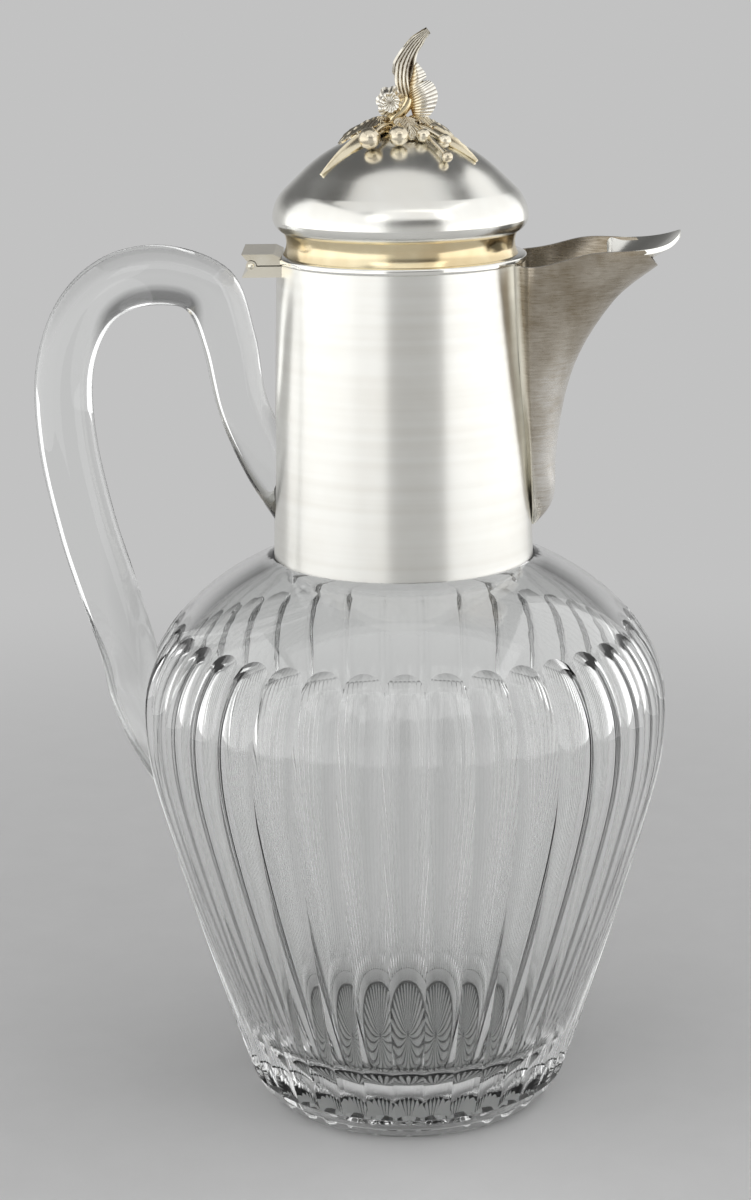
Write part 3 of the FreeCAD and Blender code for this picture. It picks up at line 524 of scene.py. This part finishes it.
def star_skin():
    """The underside: a shallow recess with cut rays, from the resting ring in to the middle."""
    grid = Grid(RAYS * RAY_STEPS)
    pitch = 2 * math.pi / RAYS
    inwards = np.linspace(0, 1, STAR_ROWS) ** 1.2
    rows = [32.9, 32.6] + list(STAR_RADIUS + (HUB_RADIUS - STAR_RADIUS) * inwards)

    def cut_half(r):
        """Half the width of a ray's cut at a distance from the axis."""
        share = min(max((STAR_RADIUS - r) / (STAR_RADIUS - HUB_RADIUS), 0.0), 1.0)
        return min(RAY_HALF_WIDTH * math.sin(math.pi * share ** 0.45) ** 0.9 + 0.02, 0.38 * pitch * r)

    def angles_at(half):
        """The angles of a ring's columns, closer together in each cut, whose half width is in pitches."""
        middle = (0.5 + half) / 2
        steps = [-0.5, -middle, -half, -half / 2, 0, half / 2, half, middle]
        return np.array([(ray + step) * pitch for ray in range(RAYS) for step in steps])

    grid.ring(RECESS_RADIUS, 0.0, angles_at(0.1))
    for r in rows:
        base = min(RECESS_DEPTH, (RECESS_RADIUS - r) * RECESS_SLOPE)
        half = cut_half(r)
        shares = np.tile([0, 0, 0, 0.5, 1, 0.5, 0, 0], RAYS)
        grid.ring(r, base + RAY_SLOPE * half * shares, angles_at(max(half / (pitch * r), 0.02)))
    grid.cap(RECESS_DEPTH + 0.2)
    return grid


# Stations along the handle, from its root in the collar to its pointed end on the belly: distance from the
# axis, height, half depth and half width. No part of it is left deeper in the glass than BURIED.
HANDLE = [(26.5, 155.0, 6.34, 5.36), (33.3, 167.0, 6.77, 5.90), (39.5, 181.0, 6.34, 6.16),
          (42.5, 197.0, 6.77, 6.43), (47.0, 209.4, 7.34, 6.70), (57.5, 213.6, 7.34, 6.70),
          (69.5, 211.8, 7.34, 6.70), (78.5, 204.0, 7.06, 6.70), (83.5, 190.0, 7.13, 6.70),
          (83.3, 172.0, 7.34, 6.83), (79.5, 152.0, 7.42, 7.10), (75.3, 137.0, 7.49, 7.37),
          (70.5, 121.0, 7.20, 8.17), (68.3, 108.0, 6.91, 8.44), (66.1, 98.0, 5.62, 7.10),
          (64.1, 90.0, 3.74, 4.69), (62.7, 83.5, 1.73, 1.74)]
HANDLE_ROWS = 140
HANDLE_COLUMNS = 56
BURIED = 2.4


def handle_for_union(radius, height, normal_r, normal_z):
    """The handle as a sweep of ovals, with whatever lies deep in the glass brought up near its surface."""
    out, up, depth, width = np.array(HANDLE).T
    route = np.stack((-out, np.zeros_like(out), up), axis=-1)
    along = unit(np.vstack((route[1:2] - route[:1], route[2:] - route[:-2], route[-1:] - route[-2:-1])))
    across = np.array((0.0, 1.0, 0.0))
    turn = 2 * math.pi * np.arange(HANDLE_COLUMNS) / HANDLE_COLUMNS
    ovals = (route[:, None] + np.cross(along, across)[:, None] * (depth[:, None] * np.cos(turn))[..., None]
             + across * (width[:, None] * np.sin(turn))[..., None])
    rings = curve_through(ovals.reshape(len(HANDLE), -1), HANDLE_ROWS).reshape(-1, HANDLE_COLUMNS, 3)
    places = np.vstack((rings.reshape(-1, 3), rings[0].mean(axis=0), rings[-1].mean(axis=0)))

    skin = np.column_stack((np.concatenate((radius, np.full(SAMPLES, NECK_RADIUS))),
                            np.concatenate((height, np.linspace(LEDGE_HEIGHT, NECK_TOP, SAMPLES)))))
    normals = np.column_stack((np.concatenate((normal_r, np.ones(SAMPLES))),
                               np.concatenate((normal_z, np.zeros(SAMPLES)))))
    made = bmesh.new()
    for x, y, z in places:
        place = np.array((math.hypot(x, y), z))
        nearest = int(np.hypot(*(skin - place).T).argmin())
        if np.dot(place - skin[nearest], normals[nearest]) < -BURIED:
            moved = skin[nearest] - BURIED * normals[nearest]
            x, y, z = x * moved[0] / place[0], y * moved[0] / place[0], moved[1]
        made.verts.new((x * MM, y * MM, z * MM))
    made.verts.ensure_lookup_table()
    for column in range(HANDLE_COLUMNS):
        after = (column + 1) % HANDLE_COLUMNS
        for row in range(HANDLE_ROWS - 1):
            base = row * HANDLE_COLUMNS
            made.faces.new([made.verts[base + i] for i in (column, after, after + HANDLE_COLUMNS,
                                                           column + HANDLE_COLUMNS)])
        last = (HANDLE_ROWS - 1) * HANDLE_COLUMNS
        made.faces.new([made.verts[i] for i in (after, column, len(places) - 2)])
        made.faces.new([made.verts[i] for i in (last + column, last + after, len(places) - 1)])
    bmesh.ops.recalc_face_normals(made, faces=made.faces)
    return made


def glass_skin():
    """The fluted body as one closed skin, with the star's cuts as its second material."""
    star = star_skin()
    body = bmesh.new()
    for grid in (fluted_skin(), star):
        corners = [body.verts.new([c * MM for c in v]) for v in grid.vertices]
        for number, face in enumerate(grid.faces):
            made = body.faces.new([corners[i] for i in face])
            made.material_index = int(grid is star and number % RAY_STEPS in RAY_FACES)
    rims = [edge for edge in body.edges if edge.is_boundary]
    bmesh.ops.bridge_loops(body, edges=rims)
    bmesh.ops.triangulate(body, faces=[f for f in body.faces if len(f.verts) > 4])
    bmesh.ops.recalc_face_normals(body, faces=body.faces)
    return body


def make_glass():
    """The body and the handle, joined into one piece of glass."""
    glass = object_from("cut_glass", glass_skin(), material("cut_glass", glass_look),
                        material("frosted_cut", frosted_look))
    tool = object_from("handle_tool", handle_for_union(*flank_table()[:4]))
    union = glass.modifiers.new("union", "BOOLEAN")
    union.operation = "UNION"
    union.solver = "MANIFOLD"
    union.object = tool
    bpy.context.view_layer.update()
    graph = bpy.context.evaluated_depsgraph_get()
    joined = bpy.data.meshes.new_from_object(glass.evaluated_get(graph))
    glass.modifiers.clear()
    glass.data = joined
    bpy.data.objects.remove(tool)
    joined.polygons.foreach_set("use_smooth", [True] * len(joined.polygons))
    joined.set_sharp_from_angle(angle=GLASS_CREASE)
    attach(glass, "jug")
    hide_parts("glass_body", "glass_handle")


# ---------------------------------------------------------------------------------- finial
CROWN = np.array((0.0, 0.0, 248.4))
DOME_CURVE = 34.2
DOME_EDGE = 24.18
UP = np.array((0.0, 0.0, 1.0))
FORWARD = np.array((0.0, -1.0, 0.0))

# The draped leaves start this far from the axis and are lifted most at this share of their reach.
LEAF_ROOT = 2.4
LEAF_BEND = 0.48
# By node: azimuth, reach, half width, heights of root, bend and tip above the dome, and depth of the beads.
SPEARS = {"finial_long_leaf_left": (218.0, 24.0, 3.1, 1.3, 4.4, 0.9, 0),
          "finial_long_leaf_right": (331.5, 21.2, 2.9, 1.3, 4.4, 0.9, 0.22),
          "finial_long_leaf_back_left": (141.0, 20.0, 2.8, 1.3, 4.2, 0.9, 0),
          "finial_long_leaf_back_right": (55.0, 20.0, 2.8, 1.3, 4.2, 0.9, 0.22)}
# The same for the fan leaves, which have no beads.
FANS = {"finial_fan_leaf_left": (203.0, 16.0, 4.0, 3.2, 5.4, 1.6),
        "finial_fan_leaf_right": (346.0, 13.5, 3.5, 3.4, 5.2, 1.6),
        "finial_fan_leaf_front": (286.0, 11.4, 3.0, 3.2, 4.8, 0.9),
        "finial_fan_leaf_back": (98.0, 12.0, 3.0, 3.2, 4.8, 0.9)}
# Corners of a piece of metal that are closer than this, in metres, are one.
WELD = 5e-7
METAL_CREASE = math.radians(50)


def leaf_metal(tree):
    """Cast metal, silver turning to gilt by the mesh's own share, with brown tarnish in its hollows."""
    cloud = tree.noise(tree.stretched(1, 1, 1), 260.0, 3.0, 0.6)
    hollow = tree.add("Attribute", attribute_name="hollow").outputs["Fac"]
    gilded = tree.add("Attribute", attribute_name="gilded").outputs["Fac"]
    bright = tree.add("Mix", {"Factor": gilded, "A": (*SILVER, 1), "B": (*GILT, 1)}, data_type="RGBA")
    deep = tree.add("Mix", {"Factor": gilded, "A": (0.16, 0.14, 0.12, 1), "B": (0.34, 0.20, 0.07, 1)},
                    data_type="RGBA")
    metal_tone = tree.math("ADD", hollow, tree.remap(cloud, 0.3, 0.7, -0.16, 0.20), clamp=True)
    colour = tree.add("Mix", {"Factor": metal_tone, "A": bright.outputs["Result"], "B": deep.outputs["Result"]},
                      data_type="RGBA").outputs["Result"]
    rough = tree.remap(metal_tone, 0.0, 1.0, 0.17, 0.42)
    bump = tree.add("Bump", {"Height": tree.noise(tree.stretched(1, 1, 1), 1900.0, 2.0, 0.6),
                             "Strength": 0.18, "Distance": 0.00004})
    return tree.add("BsdfPrincipled", {"Base Color": colour, "Metallic": 1.0, "Roughness": rough,
                                       "Normal": bump})


def closed_metal(mesh, look):
    """Weld a mesh, face it outwards and put it in the scene, smooth between its creases."""
    tidy = bmesh.new()
    tidy.from_mesh(mesh)
    bmesh.ops.remove_doubles(tidy, verts=tidy.verts, dist=WELD)
    bmesh.ops.dissolve_degenerate(tidy, edges=tidy.edges, dist=WELD)
    bmesh.ops.recalc_face_normals(tidy, faces=tidy.faces)
    tidy.to_mesh(mesh)
    tidy.free()
    mesh.polygons.foreach_set("use_smooth", [True] * len(mesh.polygons))
    mesh.set_sharp_from_angle(angle=METAL_CREASE)
    mesh.materials.append(look)
    piece = bpy.data.objects.new(mesh.name, mesh)
    bpy.context.scene.collection.objects.link(piece)
    return piece


def cast_sheet(node, points, hollow, gilded, thickness, towards):
    """A closed cast sheet in place of a finial node.

    points is a grid of places in millimetres on its outer face, hollow and gilded are shares from 0 to 1 over
    the same grid, and towards is roughly the way the outer face looks.
    """
    rows, columns = points.shape[:2]
    normal = unit(np.cross(np.gradient(points, axis=0), np.gradient(points, axis=1)))
    if np.sum(normal * towards) < 0:
        normal = -normal
    wraps = np.allclose(points[:, 0], points[:, -1], atol=1e-6)
    if wraps:
        normal[:, 0] = normal[:, -1] = unit(normal[:, 0] + normal[:, -1])
    back = points - normal * np.broadcast_to(thickness, points.shape[:2])[..., None]
    vertices = np.concatenate((points.reshape(-1, 3), back.reshape(-1, 3))) * MM
    count = rows * columns
    faces = []
    for row in range(rows - 1):
        for column in range(columns - 1):
            first = row * columns + column
            quad = (first, first + 1, first + columns + 1, first + columns)
            faces += [quad, tuple(corner + count for corner in quad[::-1])]
    rims = [((row, c), (row, c + 1)) for row in (0, rows - 1) for c in range(columns - 1)]
    if not wraps:
        rims += [((r, column), (r + 1, column)) for column in (0, columns - 1) for r in range(rows - 1)]
    for (row, column), (next_row, next_column) in rims:
        start, end = row * columns + column, next_row * columns + next_column
        faces.append((end, start, start + count, end + count))
    mesh = bpy.data.meshes.new(node + "_cast")
    mesh.from_pydata(vertices.tolist(), [], faces)
    for name, values in (("hollow", hollow), ("gilded", gilded)):
        flat = np.broadcast_to(values, (rows, columns)).ravel()
        data = mesh.attributes.new(name, "FLOAT", "POINT").data
        data.foreach_set("value", np.clip(np.concatenate((flat, flat)), 0, 1).astype(np.float32))
    piece = closed_metal(mesh, CAST)
    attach(piece, "lid")
    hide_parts(node)


def on_dome(azimuth, radius, above):
    """A point above the dome at an azimuth in degrees and a distance from the axis."""
    turn = math.radians(azimuth)
    sagitta = DOME_CURVE - math.sqrt(DOME_CURVE ** 2 - min(radius, DOME_EDGE) ** 2)
    drop = sagitta + max(radius - DOME_EDGE, 0)
    return np.array((radius * math.cos(turn), radius * math.sin(turn), CROWN[2] - drop + above))


def saw(phase):
    """A rounded ridge pattern: 0 in the grooves and 1 on the ridges, once for each whole number."""
    return np.abs(np.sin(math.pi * phase)) ** 0.7


def drape(azimuth, reach, low, high, tip):
    """The root, bend and tip of a leaf that lies out over the dome."""
    return (on_dome(azimuth, LEAF_ROOT, low), on_dome(azimuth, reach * LEAF_BEND, high),
            on_dome(azimuth, reach, tip))


def leaf_grid(rows=44, columns=33):
    """Shares along a leaf, from 0 to 1, and across it, from -1 to 1."""
    return np.meshgrid(np.linspace(0, 1, rows), np.linspace(-1, 1, columns), indexing="ij")


def leaf_points(along, across, root, bend, tip, facing, half, fullest, cup, lobes, lobe_depth, relief):
    """Places on a leaf that follows a bent midrib, with lobed edges and a relief in millimetres."""
    u = along[..., None]
    middle = root * (1 - u) ** 2 + bend * (2 * u * (1 - u)) + tip * u ** 2
    run = unit((bend - root) * (1 - u) + (tip - bend) * u)
    side = unit(np.cross(run, facing))
    outward = np.cross(side, run)
    fill = np.clip(along ** (math.log(0.5) / math.log(fullest)), 0.05, 0.985)
    width = 0.3 + (half - 0.3) * np.sin(math.pi * fill) ** 0.8
    width = width * (1 - lobe_depth * np.abs(np.cos(math.pi * lobes * along)) * (along < 0.93))
    rise = cup * across ** 2 * width / half + relief * np.minimum(1, width / half * 1.4)
    return middle + side * (across * width)[..., None] + outward * rise[..., None]


def spear_leaf(node, azimuth, reach, half, low, high, tip, beads):
    """A long draped leaf with two bevels that meet in a beaded or plain midrib."""
    u, v = leaf_grid()
    rib = np.exp(-(v / 0.13) ** 2)
    relief = 0.75 * (1 - np.abs(v)) + 0.28 * rib + beads * np.abs(np.sin(9 * math.pi * u)) * rib
    groove = np.exp(-((np.abs(v) - 0.24) / 0.09) ** 2)
    points = leaf_points(u, v, *drape(azimuth, reach, low, high, tip), facing=UP, half=half, fullest=0.45,
                         cup=-0.5, lobes=1, lobe_depth=0, relief=relief - 0.45)
    cast_sheet(node, points, hollow=0.62 * groove * (1 - u) ** 0.4, gilded=0.75,
               thickness=0.55, towards=UP)


def fan_leaf(node, azimuth, reach, half, low, high, tip):
    """A broad draped leaf with lobed edges and fine veins that slant away from the midrib."""
    u, v = leaf_grid(60, 41)
    veins = saw(9 * u - 3.2 * np.abs(v))
    rib = np.exp(-(v / 0.08) ** 2)
    relief = 0.32 * veins + 0.3 * rib + 0.35 * np.sin(3 * math.pi * u) * np.abs(v) - 0.3
    points = leaf_points(u, v, *drape(azimuth, reach, low, high, tip), facing=UP, half=half * 1.08,
                         fullest=0.5, cup=-0.6, lobes=4, lobe_depth=0.16, relief=relief)
    cast_sheet(node, points, hollow=0.85 * (1 - veins) + 0.12 * (1 - u), gilded=0.55,
               thickness=0.5, towards=UP)


def tall_leaf():
    """The acanthus leaf that rises and curls over at its tip."""
    u, v = leaf_grid(72, 41)
    veins = saw(2.7 * v + 0.9 * np.sin(2.6 * u + 1.2) * (1 - 0.4 * u))
    fold = np.exp(-((v - 0.55) / 0.22) ** 2) * np.exp(-((u - 0.45) / 0.16) ** 2)
    relief = 0.6 * veins - 0.9 * fold + 0.5 * np.sin(2 * math.pi * u) * v
    points = leaf_points(u, v, CROWN + (3.2, 0.2, 5.0), CROWN + (-2.2, 0.6, 17.0), CROWN + (7.1, 0.2, 23.7),
                         facing=np.array((0.25, -1, 0)), half=2.9, fullest=0.39, cup=0.8, lobes=3,
                         lobe_depth=0.13, relief=relief)
    cast_sheet("finial_tall_leaf", points, hollow=0.95 * (1 - veins) + 0.55 * fold,
               gilded=0.25 + 0.45 * np.exp(-(u / 0.25) ** 2), thickness=0.55, towards=FORWARD)


def shell_leaf():
    """The shell-shaped leaf: fine ribs fan from a gilt edge to a notched outer rim."""
    count = 110
    inner = curve_through([(2.7, -0.4, 3.2), (1.9, 0.2, 6.6), (1.7, 0.4, 10.2), (2.9, 0.4, 16.0)], count)
    outer = curve_through([(4.9, -0.6, 2.9), (7.4, -0.2, 5.0), (8.6, 0.3, 8.6), (7.6, 0.6, 11.6),
                           (6.1, 0.5, 12.6), (5.6, 0.8, 14.2), (3.7, 0.5, 16.7)], count)
    v, u = np.meshgrid(np.linspace(0, 1, count), np.linspace(0, 1, 30), indexing="ij")
    notch = np.exp(-((v - 0.69) / 0.022) ** 2)
    reach = u * (1 - 0.22 * notch)
    flat = inner[:, None] * (1 - reach[..., None]) + outer[:, None] * reach[..., None]
    ribs = saw(19 * v)
    bulge = 1.9 * np.sin(math.pi * u ** 0.8) * np.sin(math.pi * v) ** 0.5 + 0.24 * ribs * (0.3 + 0.7 * u)
    points = CROWN + flat + np.stack((0.7 + 0 * u, -bulge - 0.5, -0.6 + 0 * u), axis=-1)
    hollow = 0.9 * (1 - ribs) + 0.45 * np.exp(-(u / 0.2) ** 2)
    cast_sheet("finial_shell_leaf", points, hollow, gilded=np.clip(1.15 - 1.5 * u, 0.15, 1),
               thickness=0.5, towards=FORWARD)


def flower():
    """The round lobed leaf that curls beside the stem, its veins swirling round its middle."""
    r, turn = np.meshgrid(np.linspace(0.02, 1, 34), np.linspace(0, 2 * math.pi, 121), indexing="ij")
    lobes = 1 - 0.13 * np.abs(np.cos(3.5 * turn + 0.5)) ** 3
    veins = saw(16 * turn / (2 * math.pi) + 1.3 * r)
    reach = r * lobes
    x = -2.2 + 3.5 * reach * np.cos(turn)
    z = 6.8 + 4.0 * reach * np.sin(turn)
    y = -2.9 + 1.9 * reach ** 2.2 - 0.34 * veins * np.sqrt(r) - 0.8 * np.exp(-((r - 0.62) / 0.16) ** 2)
    points = CROWN + np.stack((x, y, z), axis=-1)
    hollow = 0.9 * (1 - veins) * r ** 0.3 + 0.4 * np.exp(-(r / 0.2) ** 2)
    cast_sheet("finial_flower", points, hollow, gilded=0.22, thickness=0.8 + 1.2 * (1 - r),
               towards=FORWARD)


def make_finial():
    for node, sizes in SPEARS.items():
        spear_leaf(node, *sizes)
    for node, sizes in FANS.items():
        fan_leaf(node, *sizes)
    tall_leaf()
    shell_leaf()
    flower()


# ---------------------------------------------------------------------------------- lid flange
FLANGE = [(26.9, 217.0), (30.5, 217.0), (30.8, 217.15), (30.9, 217.35), (30.9, 218.2), (30.75, 218.5),
          (30.4, 218.65), (26.9, 218.7)]


def make_flange(look):
    """The flange under the lid, its edge rounded over so that it draws a bright line round the foot."""
    grid = Grid(256)
    for radius, height in FLANGE + FLANGE[:1]:
        grid.ring(radius, height)
    mesh = bpy.data.meshes.new("polished_flange")
    mesh.from_pydata([[c * MM for c in v] for v in grid.vertices], [], grid.faces)
    piece = closed_metal(mesh, look)
    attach(piece, "lid")
    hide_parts("lid_flange")


# ---------------------------------------------------------------------------------- CAD pieces that stay
def dress(look, *names):
    """Give CAD pieces a material in place of each that they have."""
    for name in names:
        node = nodes[name]
        for slot in node.material_slots:
            slot.material = look


make_camera()
make_stage()
make_lights()
make_glass()
CAST = material("cast_leaf", leaf_metal)
make_finial()
silver_brushed = material("silver_brushed", lambda t: brushed(t, SILVER, SILVER_SHADE, 0.32, 0.25))
silver_satin = material("silver_satin", lambda t: polished(t, SILVER, SILVER_SHADE, 0.22))
gilt = material("gilt", lambda t: polished(t, GILT, GILT_SHADE, 0.18))
dress(silver_brushed, "collar")
dress(material("spout_satin", spout_look), "spout")
dress(silver_satin, "spout_lip", "lid_bezel", "lid_dome")
dress(material("hinge_cream", lambda t: polished(t, CREAM, CREAM_SHADE, 0.2)),
      "hinge_lower_leaf", "hinge_upper_leaf", "hinge_pin")
make_flange(material("silver_bright", lambda t: polished(t, SILVER, SILVER_SHADE, 0.12)))
dress(gilt, "lid_neck_band", "finial_boss", "finial_stem", "finial_stud", "finial_washer", "finial_nut")
dress(material("berry_silver", lambda t: polished(t, BERRY, BERRY_SHADE, 0.24)),
      *["finial_berry_%d" % number for number in range(1, 7)])
dress(material("cement", cement_look), "cement_bed")

scene = bpy.context.scene
scene.view_settings.view_transform = "Standard"
